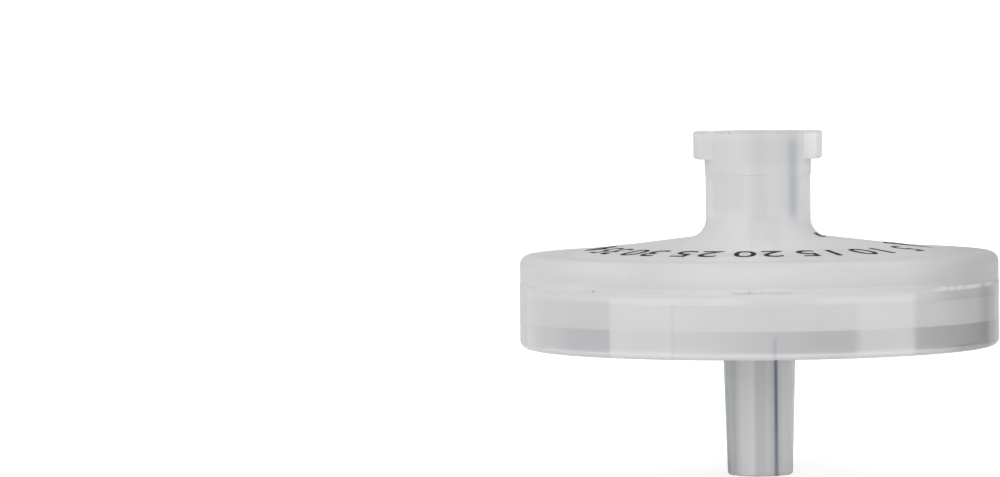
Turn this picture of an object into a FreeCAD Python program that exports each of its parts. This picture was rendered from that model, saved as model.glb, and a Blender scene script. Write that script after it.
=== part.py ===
"""A 25 mm syringe filter: two moulded polypropylene shells welded round a membrane disc.

Millimetres, +Z up along the flow axis. The origin is the centre of the outlet spigot's tip. The inlet
socket points up and its two lugs lie along X. Outlines are drawn as (radius, height) and turned about Z.
"""

import FreeCAD, Part
import math
import os

# Overall sizes
OUTLET_LENGTH = 7.8       # spigot tip to the lower edge of the rim
RIM_RADIUS = 14.5
RIM_HEIGHT = 5.65         # lower edge of the rim to the flat top of the shoulder
INLET_HEIGHT = 7.38       # flat top of the shoulder to the mouth of the socket
WELD_HEIGHT = 3.9         # lower edge of the rim to the line where the shells meet

# Luer fittings, both with the 6 % cone
LUER_SLOPE = 0.06 / 2     # radius gained for each millimetre of length
SPIGOT_TIP_RADIUS = 1.975
SPIGOT_EDGE_ROUND = 0.18
LUMEN_RADIUS = 0.75
LUMEN_MOUTH = 0.4         # how far the lumen opens out at the drain
SOCKET_MOUTH_RADIUS = 2.15
SOCKET_LIP_ROUND = 0.15
HUB_RADIUS = 3.18
HUB_COLLAR = 0.045        # how far the upper part of the hub stands proud
HUB_COLLAR_HEIGHT = 2.6   # from the mouth down to the step
HUB_ROOT_ROUND = 1.1
LUG_RADIUS = 3.9
LUG_WIDTH = 3.3
LUG_HEIGHT = 1.7
LUG_ROUND = 0.22

# Inlet shell
SHELL_INSET = 0.03        # how far its skirt stands inside the rim of the outlet shell
PARTING_BEVEL = 0.05      # on both shells, along the line where they meet
SHOULDER_ROUND = 0.59
SHOULDER_WIDTH = 2.4      # flat ring between the foot of the cone and the rim
CONE_SLOPE = math.tan(math.radians(7.0))
CONE_FOOT_ROUND = 5.0
CHAMBER_HEIGHT = 0.59     # from the membrane to the roof, at the chamber's outer edge
ROOF_SLOPE = 0.045        # the chamber's roof rises this much towards the axis
GATE_RADIUS = 1.35        # round well that the moulding gate leaves
GATE_DEPTH = 0.14
GATE_INSET = 2.25         # from the rim in to its centre
GATE_NUB_RADIUS = 0.4
GATE_NUB_HEIGHT = 0.09

# Star at the foot of the socket, four windows between crossed bars
WINDOW_RADIUS = 1.7
STAR_BAR = 0.5
STAR_THICKNESS = 0.628    # of the floor that the bars and windows are in

# Membrane and its seat
MEMBRANE_RADIUS = 12.5
MEMBRANE_THICKNESS = 0.2
SEAT_DEPTH = 0.44         # membrane seat below the weld line
SEAT_WIDTH = 0.9
FIT_GAP = 0.05            # sideways clearance where one piece fits in another
END_GAP = 0.1             # clearance ahead of a tongue or above a ridge

# Tongue of the inlet shell, in a groove of the outlet shell
RIDGE_WIDTH = 0.25
RIDGE_HEIGHT = 0.25       # above the seat
TONGUE_WIDTH = 0.5
TONGUE_LENGTH = 0.95      # below the weld line

# Flow channels in both chamber faces: rings of rib crossed by radial channels
CHANNEL_DEPTH = 0.4
CHANNEL_WIDTH = 1.3
CHANNEL_COUNT = 8
RIB_WIDTH = 0.45
RIB_PITCH = 0.95
FIRST_RIB_RADIUS = 4.2

# Underside of the outlet shell: a plate cored out in fan-shaped pockets
PLATE_THICKNESS = 1.38
SKIRT_THICKNESS = 1.1
SKIRT_EDGE_ROUND = 0.5
SKIRT_INNER_ROUND = 0.25
BOSS_RADIUS = 3.6
STIFFENER_COUNT = 6
STIFFENER_WIDTH = 1.5
STIFFENER_RECESS = 0.5    # stiffeners stop this far above the lower edge of the rim
POCKET_CORNER_ROUND = 1.15
POCKET_INNER_ROUND = 0.4
SPIGOT_ROOT_ROUND = 0.35

# Heights that follow
rim_bottom = OUTLET_LENGTH
weld_line = rim_bottom + WELD_HEIGHT
shoulder_top = rim_bottom + RIM_HEIGHT
mouth = shoulder_top + INLET_HEIGHT
seat = weld_line - SEAT_DEPTH
membrane_top = seat + MEMBRANE_THICKNESS
drain_floor = seat - CHANNEL_DEPTH
pocket_roof = drain_floor - PLATE_THICKNESS
stiffener_foot = rim_bottom + STIFFENER_RECESS
groove_foot = weld_line - TONGUE_LENGTH - END_GAP

# Radii that follow
shell_radius = RIM_RADIUS - SHELL_INSET
shoulder_inner = RIM_RADIUS - SHOULDER_WIDTH
seat_inner = MEMBRANE_RADIUS - SEAT_WIDTH
ridge_inner = MEMBRANE_RADIUS + FIT_GAP
ridge_outer = ridge_inner + RIDGE_WIDTH
tongue_inner = ridge_outer + FIT_GAP
tongue_outer = tongue_inner + TONGUE_WIDTH
groove_outer = tongue_outer + FIT_GAP
skirt_inner = RIM_RADIUS - SKIRT_THICKNESS
spigot_root = SPIGOT_TIP_RADIUS + LUER_SLOPE * stiffener_foot

# Inside the inlet shell
roof_edge = membrane_top + CHAMBER_HEIGHT
roof_centre = roof_edge + ROOF_SLOPE * seat_inner
socket_floor = roof_centre + STAR_THICKNESS
socket_foot = SOCKET_MOUTH_RADIUS - LUER_SLOPE * (mouth - socket_floor)
cone_apex = shoulder_top + CONE_SLOPE * shoulder_inner

ORIGIN = FreeCAD.Vector(0, 0, 0)
UP = FreeCAD.Vector(0, 0, 1)


def section(corners):
    """A closed outline as a face. A corner is (radius, height) or (radius, height, round)."""
    points = [FreeCAD.Vector(c[0], 0, c[1]) for c in corners]
    starts, ends, arcs = [], [], []
    for i, corner in enumerate(corners):
        here = points[i]
        to_last = (points[i - 1] - here).normalize()
        to_next = (points[(i + 1) % len(points)] - here).normalize()
        if len(corner) < 3:
            starts.append(here)
            ends.append(here)
            arcs.append(None)
            continue
        half_turn = to_last.getAngle(to_next) / 2
        reach = corner[2] / math.tan(half_turn)
        middle = (to_last + to_next).normalize() * (corner[2] / math.sin(half_turn) - corner[2])
        starts.append(here + to_last * reach)
        ends.append(here + to_next * reach)
        arcs.append(Part.Arc(starts[i], here + middle, ends[i]).toShape())
    edges = []
    for i, arc in enumerate(arcs):
        if arc:
            edges.append(arc)
        edges.append(Part.makeLine(ends[i], starts[(i + 1) % len(corners)]))
    return Part.Face(Part.Wire(edges))


def turned(corners):
    return section(corners).revolve(ORIGIN, UP, 360)


def bars(count, width, length, bottom, top, first_angle=0.0):
    """Bars that run out from the axis, evenly spaced."""
    made = []
    for i in range(count):
        bar = Part.makeBox(length, width, top - bottom, FreeCAD.Vector(0, -width / 2, bottom))
        bar.rotate(ORIGIN, UP, first_angle + 360.0 * i / count)
        made.append(bar)
    return made


def rib_rings(base, foot_slope, reach):
    """Rings of rib that stand reach from a chamber face (up if positive), cut by the radial channels.

    The face is at height base on the axis and falls by foot_slope for each millimetre outwards.
    """
    rings = []
    root = -math.copysign(0.1, reach)     # sunk into the face, so that ring and face fuse
    radius = FIRST_RIB_RADIUS
    while radius + RIB_WIDTH / 2 < seat_inner - RIB_WIDTH / 2:
        face = base - foot_slope * radius
        low, high = sorted((face + root, face + reach))
        inner, outer = radius - RIB_WIDTH / 2, radius + RIB_WIDTH / 2
        rings.append(turned([(inner, low), (outer, low), (outer, high), (inner, high)]))
        radius += RIB_PITCH
    tools = bars(CHANNEL_COUNT, CHANNEL_WIDTH, seat_inner, pocket_roof, shoulder_top)
    return Part.makeCompound(rings).cut(tools)


def make_inlet_shell():
    """Socket, cone, shoulder and skirt in one moulding, with the roof of the chamber under the cone."""
    collar_radius = HUB_RADIUS + HUB_COLLAR
    collar_foot = mouth - HUB_COLLAR_HEIGHT
    hub_foot = cone_apex - CONE_SLOPE * HUB_RADIUS
    shell = turned([
        (0, socket_floor),
        (socket_foot, socket_floor),
        (SOCKET_MOUTH_RADIUS, mouth, SOCKET_LIP_ROUND),
        (collar_radius, mouth, SOCKET_LIP_ROUND),
        (collar_radius, collar_foot),
        (HUB_RADIUS, collar_foot - HUB_COLLAR),
        (HUB_RADIUS, hub_foot, HUB_ROOT_ROUND),
        (shoulder_inner, shoulder_top, CONE_FOOT_ROUND),
        (shell_radius, shoulder_top, SHOULDER_ROUND),
        (shell_radius, weld_line + PARTING_BEVEL),
        (shell_radius - PARTING_BEVEL, weld_line),
        (tongue_outer, weld_line),
        (tongue_outer, weld_line - TONGUE_LENGTH),
        (tongue_inner, weld_line - TONGUE_LENGTH),
        (tongue_inner, seat + RIDGE_HEIGHT + END_GAP),
        (MEMBRANE_RADIUS, seat + RIDGE_HEIGHT + END_GAP),
        (MEMBRANE_RADIUS, membrane_top),
        (seat_inner, membrane_top),
        (seat_inner, roof_edge),
        (0, roof_centre),
    ])
    shell = shell.fuse([make_lugs(), rib_rings(roof_centre, ROOF_SLOPE, -CHANNEL_DEPTH)])
    windows = Part.makeCylinder(WINDOW_RADIUS, socket_floor - seat, FreeCAD.Vector(0, 0, seat))
    star = bars(4, STAR_BAR, RIM_RADIUS, seat, mouth, first_angle=45)
    shell = shell.cut([windows.cut(star), make_gate_well()])
    return shell.removeSplitter()


def make_lugs():
    """The two lugs of the lock, segments of a round flange with their corners rounded."""
    flange = turned([
        (HUB_RADIUS - 0.3, mouth - LUG_HEIGHT),
        (LUG_RADIUS, mouth - LUG_HEIGHT, LUG_ROUND),
        (LUG_RADIUS, mouth, SOCKET_LIP_ROUND),
        (HUB_RADIUS - 0.3, mouth),
    ])
    corner = FreeCAD.Vector(-RIM_RADIUS, -LUG_WIDTH / 2, mouth - LUG_HEIGHT)
    return flange.common(Part.makeBox(2 * RIM_RADIUS, LUG_WIDTH, LUG_HEIGHT, corner))


def make_gate_well():
    floor = FreeCAD.Vector(0, RIM_RADIUS - GATE_INSET, shoulder_top - GATE_DEPTH)
    well = Part.makeCylinder(GATE_RADIUS, GATE_DEPTH + CONE_SLOPE * GATE_RADIUS, floor)
    nub = Part.makeCylinder(GATE_NUB_RADIUS, GATE_NUB_HEIGHT, floor)
    return well.cut(nub)


def make_membrane():
    foot = FreeCAD.Vector(0, 0, seat)
    return Part.makeCylinder(MEMBRANE_RADIUS, MEMBRANE_THICKNESS, foot)


def make_outlet_shell():
    """Spigot, plate and rim in one moulding, with the membrane's seat and support on top of the plate."""
    shell = turned([
        (LUMEN_RADIUS, 0),
        (SPIGOT_TIP_RADIUS, 0, SPIGOT_EDGE_ROUND),
        (spigot_root, stiffener_foot, SPIGOT_ROOT_ROUND),
        (skirt_inner, stiffener_foot),
        (skirt_inner, rim_bottom, SKIRT_INNER_ROUND),
        (RIM_RADIUS, rim_bottom, SKIRT_EDGE_ROUND),
        (RIM_RADIUS, weld_line - PARTING_BEVEL),
        (RIM_RADIUS - PARTING_BEVEL, weld_line),
        (groove_outer, weld_line),
        (groove_outer, groove_foot),
        (ridge_outer, groove_foot),
        (ridge_outer, seat + RIDGE_HEIGHT),
        (ridge_inner, seat + RIDGE_HEIGHT),
        (ridge_inner, seat),
        (seat_inner, seat),
        (seat_inner, drain_floor),
        (LUMEN_RADIUS + LUMEN_MOUTH, drain_floor),
        (LUMEN_RADIUS, drain_floor - LUMEN_MOUTH),
    ])
    return shell.fuse(rib_rings(drain_floor, 0, CHANNEL_DEPTH)).cut(make_pockets()).removeSplitter()


def make_pockets():
    """Fan-shaped pockets between the stiffeners, with rounded corners."""
    height = pocket_roof - stiffener_foot
    foot = FreeCAD.Vector(0, 0, stiffener_foot)
    ring = Part.makeCylinder(skirt_inner, height, foot).cut(Part.makeCylinder(BOSS_RADIUS, height, foot))
    stiffeners = bars(STIFFENER_COUNT, STIFFENER_WIDTH, RIM_RADIUS, stiffener_foot, pocket_roof)
    pockets = []
    for pocket in ring.cut(stiffeners).Solids:
        upright = [e for e in pocket.Edges if abs(e.tangentAt(e.FirstParameter).z) > 0.99]
        outer = [e for e in upright if radius_of(e) > (BOSS_RADIUS + skirt_inner) / 2]
        inner = [e for e in upright if radius_of(e) <= (BOSS_RADIUS + skirt_inner) / 2]
        rounded = pocket.makeFillet(POCKET_CORNER_ROUND, outer)
        inner = [e for e in rounded.Edges if any(same_line(e, old) for old in inner)]
        pockets.append(rounded.makeFillet(POCKET_INNER_ROUND, inner))
    return pockets


def radius_of(edge):
    centre = edge.CenterOfMass
    return math.hypot(centre.x, centre.y)


def same_line(edge, other):
    return (edge.CenterOfMass - other.CenterOfMass).Length < 1e-6


os.makedirs("parts", exist_ok=True)
PIECES = {
    "inlet_shell": make_inlet_shell(),
    "membrane": make_membrane(),
    "outlet_shell": make_outlet_shell(),
}
for name, shape in PIECES.items():
    shape.exportStep(f"parts/{name}.step")
    print(name, shape.isValid(), len(shape.Solids), "solid", round(shape.Volume, 2), "mm3")
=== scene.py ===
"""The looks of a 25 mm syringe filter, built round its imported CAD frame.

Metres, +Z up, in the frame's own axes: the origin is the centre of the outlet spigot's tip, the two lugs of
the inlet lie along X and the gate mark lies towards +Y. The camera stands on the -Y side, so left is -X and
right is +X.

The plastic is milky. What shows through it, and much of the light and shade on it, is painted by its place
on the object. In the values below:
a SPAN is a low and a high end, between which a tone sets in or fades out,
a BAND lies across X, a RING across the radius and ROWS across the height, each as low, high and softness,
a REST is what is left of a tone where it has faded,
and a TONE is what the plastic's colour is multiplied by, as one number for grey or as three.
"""

import math
import random

import bmesh
import bpy
from mathutils import Matrix, Vector


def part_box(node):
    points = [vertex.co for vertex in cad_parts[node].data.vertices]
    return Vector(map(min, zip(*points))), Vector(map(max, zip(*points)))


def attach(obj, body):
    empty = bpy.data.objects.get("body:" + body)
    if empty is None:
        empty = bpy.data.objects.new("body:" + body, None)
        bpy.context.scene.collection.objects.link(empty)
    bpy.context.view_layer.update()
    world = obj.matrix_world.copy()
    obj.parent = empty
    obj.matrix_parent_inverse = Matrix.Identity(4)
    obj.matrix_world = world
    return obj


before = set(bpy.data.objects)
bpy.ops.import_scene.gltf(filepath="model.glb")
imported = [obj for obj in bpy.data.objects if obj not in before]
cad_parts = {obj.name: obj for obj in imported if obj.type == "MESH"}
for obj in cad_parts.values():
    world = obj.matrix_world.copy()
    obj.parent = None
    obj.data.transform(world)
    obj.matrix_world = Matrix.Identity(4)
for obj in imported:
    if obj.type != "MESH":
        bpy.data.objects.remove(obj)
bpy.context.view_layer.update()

MM = 0.001

# Camera
EYE_DISTANCE = 287.1 * MM       # from the filter's axis
EYE_HEIGHT = 25.76 * MM
LENS = 170.43                   # focal length, on a sensor of SENSOR_WIDTH, both in true millimetres
SENSOR_WIDTH = 36.0
NEAR_CLIP = 10 * MM
TURN_LEFT = math.radians(3.126)  # so that the filter stands in the right half of the frame
LOOK_DOWN = math.radians(2.257)
LEAN = math.radians(-0.615)

# Light: a white surround that is darker on the filter's right, and one broad soft lamp from the front
SURROUND = 0.83                 # what the surround adds to a white surface, as a share of full white
DARK_SIDE = (0.98, -0.2, 0.0)
DARK_EDGE = 0.35                # cosine of the angle from DARK_SIDE at which the darker part starts
DARK_CORE = 0.95                # and at which it is darkest
SEEN = 0.85                     # how bright the surround looks through the plastic
MIRRORED = 0.68                 # and in a reflection, as a share of that
DARK_SEEN = 0.3                 # and its darkest part
BEHIND = 1.05                   # as the camera sees it, a little over full white
KEY = 0.28
KEY_FROM = (-0.1, -1.0, 0.45)
LAMP_SPREAD = math.radians(50)
FLOOR_GREY = 0.85
FLOOR_LIGHT = 0.08              # what the floor gives off by itself, as a light table does
FLOOR_GLOW = 0.47               # and more where the camera sees it, so that it reads as white
FLOOR_HALF = 3.0
FLOOR_DROP = 0.02 * MM

# The filter's own heights and radii. The frame gives its outline, and the rest are the CAD model's sizes.
_, outlet_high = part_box("outlet_shell")
_, inlet_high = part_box("inlet_shell")
RIM_RADIUS = outlet_high.x
WELD_LINE = outlet_high.z
MOUTH = inlet_high.z
RIM_BOTTOM = WELD_LINE - 3.9 * MM
SHOULDER_TOP = WELD_LINE + 1.75 * MM
SHOULDER_INNER = RIM_RADIUS - 2.4 * MM
CONE_ANGLE = math.radians(7)
CONE_SLOPE = math.tan(CONE_ANGLE)
HUB_RADIUS = 3.18 * MM
HUB_ROOT_ROUND = 1.1 * MM
COLLAR = MOUTH - 2.6 * MM       # the lower edge of the hub's wider top
LUG_FOOT = MOUTH - 1.7 * MM
SOCKET_RADIUS = 2.15 * MM       # at the mouth
CHANNELS = 8
FIRST_RIB = 4.2 * MM
RIB_PITCH = 0.95 * MM
POCKET_ROOF = RIM_BOTTOM + 1.68 * MM
POCKET_FOOT = RIM_BOTTOM + 0.37 * MM
STIFFENERS = 6
STIFFENER_HALF = 1.82 * MM      # half width of a stiffener with the pockets' rounded corners, at the skirt
STIFFENER_TURN = math.radians(0.9)  # how far the stiffeners look turned, through the curved skirt


# ---------------------------------------------------------------- nodes

FRONT_SPAN = (-0.5 * MM, 0.0)   # along Y
NOISE_RANGE = (0.3, 0.7)        # what a noise usually covers
MIX_INPUTS = (0, 6, 7)          # of a Mix node: its share and its two colours
MIX_OUTPUT = 2                  # and its colour


class Nodes:
    """Short ways to add and link the nodes of one tree."""

    def __init__(self, tree):
        self.tree = tree

    def add(self, kind, *inputs, **settings):
        """A new node. Its inputs are filled in order, each with a socket, a plain value or None to skip."""
        node = self.tree.nodes.new(kind)
        for name, value in settings.items():
            setattr(node, name, value)
        for socket, value in zip(node.inputs, inputs):
            if isinstance(value, bpy.types.NodeSocket):
                self.tree.links.new(value, socket)
            elif value is not None:
                socket.default_value = value
        return node

    def math(self, operation, *inputs):
        return self.add("ShaderNodeMath", *inputs, operation=operation).outputs[0]

    def times(self, *factors):
        product = factors[0]
        for factor in factors[1:]:
            product = self.math("MULTIPLY", product, factor)
        return product

    def inverse(self, share):
        return self.math("SUBTRACT", 1.0, share)

    def step(self, value, low, high, low_result=0.0, high_result=1.0):
        """Runs smoothly from low_result to high_result as value goes from low to high."""
        node = self.add("ShaderNodeMapRange", value, low, high, low_result, high_result)
        node.interpolation_type = "SMOOTHSTEP"
        return node.outputs[0]

    def fade(self, value, low, high, rest=0.0):
        """Runs smoothly from 1 down to rest as value goes from low to high."""
        return self.step(value, low, high, 1.0, rest)

    def light_path(self, *kinds):
        """1 for rays of any of these kinds, and 0 for the rest."""
        path = self.add("ShaderNodeLightPath")
        found = path.outputs[kinds[0]]
        for kind in kinds[1:]:
            found = self.math("MAXIMUM", found, path.outputs[kind])
        return found


class Surface(Nodes):
    """A node material with one Principled shader, whose tones follow the place on the object."""

    def __init__(self, name, **fixed):
        self.material = bpy.data.materials.new(name)
        self.material.use_nodes = True
        super().__init__(self.material.node_tree)
        self.shader = self.tree.nodes["Principled BSDF"]
        for socket, value in fixed.items():
            self.shader.inputs[socket.replace("_", " ")].default_value = value
        self.place = self.add("ShaderNodeTexCoord").outputs["Object"]
        apart = self.add("ShaderNodeSeparateXYZ", self.place)
        self.x, self.y, self.height = apart.outputs

    def off_axis(self):
        """How far to the left or right of the axis."""
        return self.math("ABSOLUTE", self.x)

    def radius(self):
        return self.math("SQRT", self.math("ADD", self.times(self.x, self.x), self.times(self.y, self.y)))

    def angle(self):
        return self.math("ARCTAN2", self.y, self.x)

    def band(self, value, low, high, soft):
        """1 where value lies between low and high, with soft edges."""
        rise = self.step(value, low - soft / 2, low + soft / 2)
        fall = self.fade(value, high - soft / 2, high + soft / 2)
        return self.times(rise, fall)

    def in_front(self):
        """1 on the camera's side of the axis."""
        return self.fade(self.y, *FRONT_SPAN)

    def noise(self, scale, detail=2.0, place=None):
        """A noise of about 0 to 1. scale is its features in each metre."""
        return self.add("ShaderNodeTexNoise", place or self.place, None, scale, detail).outputs[0]

    def streaks(self, turns, along):
        """Noise drawn out along the axis: turns features round the object, along features in each metre."""
        place = self.add(
            "ShaderNodeCombineXYZ",
            self.times(self.math("COSINE", self.angle()), turns / math.tau),
            self.times(self.math("SINE", self.angle()), turns / math.tau),
            self.times(self.height, along),
        ).outputs[0]
        return self.noise(1.0, place=place)

    def spread(self, value, low, high):
        """Sends a noise's usual range to low to high."""
        return self.add("ShaderNodeMapRange", value, *NOISE_RANGE, low, high).outputs[0]

    def blend(self, share, colour, other, kind="MIX"):
        """Two colours mixed by share. Each of the three is a plain value or a socket."""
        node = self.add("ShaderNodeMix", data_type="RGBA", blend_type=kind)
        for i, value in zip(MIX_INPUTS, (share, colour, other)):
            if isinstance(value, bpy.types.NodeSocket):
                self.tree.links.new(value, node.inputs[i])
            else:
                node.inputs[i].default_value = value if isinstance(value, float) else (*value, 1.0)
        return node.outputs[MIX_OUTPUT]

    def stain(self, colour, tone, *shares):
        """The colour, times tone where every share is 1. A tone is one number or three."""
        ratio = (tone, tone, tone) if isinstance(tone, float) else tone
        return self.blend(self.times(*shares), colour, ratio, "MULTIPLY")

    def feed(self, socket, value):
        self.tree.links.new(value, self.shader.inputs[socket])

    def bump(self, height, strength, distance):
        node = self.add("ShaderNodeBump", strength, distance)
        self.tree.links.new(height, node.inputs["Height"])
        self.feed("Normal", node.outputs[0])


# ---------------------------------------------------------------- both shells

MILK_DEPTH = 0.6 * MM           # how far light spreads within the milky plastic
PLASTIC_IOR = 1.49
CLOUDS = 180                    # how many soft clouds the milk has in each metre
CLOUD_DETAIL = 3.0
MELT_COLOUR = (0.615, 0.615, 0.617)
MELT_SPAN = (0.12 * MM, 0.34 * MM)      # above and below the weld line
MELT_DEPTH_SPAN = (RIM_RADIUS - 0.8 * MM, RIM_RADIUS - 0.5 * MM)
NEAR_END_SPAN = (-11.0 * MM, -9.0 * MM)
FAR_END_SPAN = (7.5 * MM, RIM_RADIUS - 0.5 * MM)
JAGS_SPAN = (9.8 * MM, 11.5 * MM)
JAGS = 1100                     # how many points the weld's painted glint has in each metre
JAG_SPAN = (0.40, 0.56)         # the noise at which a jag sets in
SKIN_GRAIN = 2500
GRAIN_DETAIL = 3.0
GRAIN_DEPTH = 0.02 * MM


def polypropylene(name, **fixed):
    """Natural polypropylene: milky and softly lit from within, with the surroundings faint behind it."""
    return Surface(
        name,
        IOR=PLASTIC_IOR,
        **fixed,
        Subsurface_Weight=1.0,
        Subsurface_Radius=(1.0, 1.0, 1.0),
        Subsurface_Scale=MILK_DEPTH,
    )


def melt_zone(s):
    """1 close to the weld. Both shells are drawn as opaque melt there, so that no dark line parts them."""
    away = s.math("ABSOLUTE", s.math("SUBTRACT", s.height, WELD_LINE))
    return s.times(s.fade(away, *MELT_SPAN), s.step(s.radius(), *MELT_DEPTH_SPAN))


def near_end_light(s):
    """Rises to 1 at the disc's -X end, where the weld is painted lighter: painted light that lifts the shade
    along it.
    """
    return s.fade(s.x, *NEAR_END_SPAN)


def far_end_shade(s):
    """Rises to 1 at the disc's +X end, which is painted darker: painted shade, where the light falls off on
    that side.
    """
    return s.step(s.x, *FAR_END_SPAN)


def jagged_glint(s):
    """1 in the jagged patches of painted glint along the weld, at the +X end."""
    return s.times(s.step(s.x, *JAGS_SPAN), s.step(s.noise(JAGS), *JAG_SPAN))


# ---------------------------------------------------------------- inlet shell

INLET_MILK = ((0.785, 0.787, 0.79), (0.815, 0.815, 0.817))
INLET_CLEAR = (0.22, 0.30)      # how much of what lies behind is seen through it
INLET_SHINE = 0.25
INLET_ROUGHNESS = (0.30, 0.38)
ROUGHNESS_PATCHES = 900
INLET_GRAIN = 0.12
FLOW = (60, 25)                 # fine streaks round the hub and the rim, from the moulding
FLOW_SHARE = (0.0, 0.25)
FLOW_TONE = (0.90, 0.905, 0.92)
GLOW_COLOUR = (0.98, 0.98, 0.985, 1.0)
SOCKET_GLOW = 0.20              # a painted glow at the socket's foot, for the light that reaches it through its milky walls
MOUTH_GLOW = 0.05               # and its mouth
GLOW_DEPTH_SPAN = (SOCKET_RADIUS + 0.02 * MM, SOCKET_RADIUS + 0.06 * MM)
GLOW_SPAN = (MOUTH - 4 * MM, MOUTH)
# painted light on the weld at the disc's -X end
INLET_NEAR_SPAN = (WELD_LINE + 0.25 * MM, WELD_LINE + 0.55 * MM)
INLET_NEAR_LIGHT = 1.06
# painted shade at the disc's +X end
INLET_FAR_SPAN = (5 * MM, 8 * MM)
INLET_FAR_SHADE = (0.72, 0.72, 0.73)


def inlet_material():
    s = polypropylene("inlet_polypropylene", Specular_IOR_Level=INLET_SHINE, Emission_Color=GLOW_COLOUR)
    cloud = s.noise(CLOUDS, CLOUD_DETAIL)
    melted = melt_zone(s)
    milky = s.inverse(melted)
    tint = s.blend(s.spread(cloud, 0.0, 1.0), *INLET_MILK)
    tint = s.stain(tint, FLOW_TONE, s.spread(s.streaks(*FLOW), *FLOW_SHARE))
    tint = hub_tint(s, tint)
    tint = collar_tint(s, tint)
    tint = lug_tint(s, tint)
    tint = cone_tint(s, tint)
    tint = roof_tint(s, tint)
    tint = s.blend(melted, tint, MELT_COLOUR)
    tint = s.stain(tint, INLET_NEAR_LIGHT, near_end_light(s), s.fade(s.height, *INLET_NEAR_SPAN))
    tint = s.stain(tint, INLET_FAR_SHADE, far_end_shade(s), s.step(s.radius(), *INLET_FAR_SPAN))
    s.feed("Base Color", tint)
    s.feed("Subsurface Weight", milky)
    s.feed("Transmission Weight", s.times(s.spread(cloud, *INLET_CLEAR), milky))
    s.feed("Roughness", s.spread(s.noise(ROUGHNESS_PATCHES), *INLET_ROUGHNESS))
    s.feed("Emission Strength", socket_glow(s))
    s.bump(s.noise(SKIN_GRAIN, GRAIN_DETAIL), INLET_GRAIN, GRAIN_DEPTH)
    return s.material


def socket_glow(s):
    """Painted light inside the socket, on the faces that look into it: they glow, as the plastic round it is
    translucent.
    """
    inside = s.fade(s.radius(), *GLOW_DEPTH_SPAN)
    facing_in = s.inverse(s.add("ShaderNodeNewGeometry").outputs["Backfacing"])
    strength = s.step(s.height, *GLOW_SPAN, SOCKET_GLOW, MOUTH_GLOW)
    return s.times(inside, facing_in, strength)


# The hub, with painted light and shade. Its thin walls are painted lighter and its middle darker, its foot
# lighter against the shade at its root, and the socket's edge, seen through the wall, a bluish streak.
HUB_SPAN = (SHOULDER_TOP + 1.5 * MM, SHOULDER_TOP + 2.5 * MM)   # heights at which it sets in
SIDES_SPAN = (1.8 * MM, 3.1 * MM)
SIDES_TONE = 1.09
WALLS_SPAN = (2.62 * MM, 2.85 * MM)
WALLS_END_SPAN = (COLLAR - 0.6 * MM, COLLAR)
WALLS_TONE = 1.07
RIGHT_WALL_SPAN = (2.3 * MM, 2.8 * MM)
RIGHT_WALL_TONE = 1.10
CORE_BAND = (-0.35 * MM, 0.5 * MM, 0.5 * MM)
CORE_TONE = 0.94
FOOT_ROWS = (SHOULDER_TOP + 0.5 * MM, SHOULDER_TOP + 2.6 * MM, 1.2 * MM)
FOOT_TONE = 1.08
FOOT_CORE_ROWS = (SHOULDER_TOP + 0.6 * MM, SHOULDER_TOP + 2.4 * MM, 0.8 * MM)
FOOT_CORE_BAND = (-0.7 * MM, 1.3 * MM, 0.8 * MM)
FOOT_CORE_TONE = 0.92
STREAK_BAND = (1.88 * MM, 2.30 * MM, 0.55 * MM)
STREAK_ROWS = (SHOULDER_TOP + 2.2 * MM, MOUTH - 0.5 * MM, 1.2 * MM)
STREAK_FLOW = (8, 500)
STREAK_SHARE = (0.7, 1.1)
STREAK_TONE = (0.72, 0.755, 0.815)


def hub_tint(s, tint):
    hub = s.step(s.height, *HUB_SPAN)
    below_collar = s.fade(s.height, *WALLS_END_SPAN)
    tint = s.stain(tint, SIDES_TONE, hub, s.step(s.off_axis(), *SIDES_SPAN))
    tint = s.stain(tint, WALLS_TONE, hub, s.step(s.off_axis(), *WALLS_SPAN), below_collar)
    tint = s.stain(tint, RIGHT_WALL_TONE, hub, s.step(s.x, *RIGHT_WALL_SPAN), s.in_front())
    tint = s.stain(tint, CORE_TONE, hub, s.band(s.x, *CORE_BAND), s.in_front())
    tint = s.stain(tint, FOOT_TONE, s.band(s.height, *FOOT_ROWS))
    foot_core = s.times(s.band(s.height, *FOOT_CORE_ROWS), s.band(s.x, *FOOT_CORE_BAND), s.in_front())
    tint = s.stain(tint, FOOT_CORE_TONE, foot_core)
    return s.stain(tint, STREAK_TONE, socket_streak(s))


def socket_streak(s):
    """Painted shade: the edge of the socket, seen through the wall as a soft bluish streak down the hub."""
    uneven = s.spread(s.streaks(*STREAK_FLOW), *STREAK_SHARE)
    return s.times(s.band(s.x, *STREAK_BAND), s.band(s.height, *STREAK_ROWS), uneven, s.in_front())


# The collar, which is the hub's wider top, is painted darker in front. The shade line at its lower edge is
# painted lighter, more so on the right, where it is fainter.
ABOVE_COLLAR_SPAN = (COLLAR, MOUTH - 1.2 * MM)
ABOVE_COLLAR_BAND = (-0.9 * MM, 2.9 * MM, 0.8 * MM)
ABOVE_COLLAR_TONE = 0.945
COLLAR_SPAN = (-2.8 * MM, -1.4 * MM)    # where the left part of its edge passes into the right part
COLLAR_RIGHT_ROWS = (COLLAR - 0.13 * MM, COLLAR + 0.01 * MM, 0.06 * MM)
COLLAR_RIGHT_TONE = 1.045
COLLAR_LEFT_ROWS = (COLLAR - 0.12 * MM, COLLAR - 0.02 * MM, 0.06 * MM)
COLLAR_LEFT_TONE = 1.025
LIP_SPAN = (MOUTH - 0.20 * MM, MOUTH - 0.08 * MM)
LIP_END_SPAN = (MOUTH - 0.02 * MM, MOUTH - 0.005 * MM)
LIP_TONE = 0.82
SPECK_PLACE = (-1.66 * MM, -2.66 * MM, MOUTH - 0.1 * MM)    # a small chip at the mouth
SPECK_SPAN = (0.048 * MM, 0.112 * MM)
SPECK_TONE = 0.35


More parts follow.
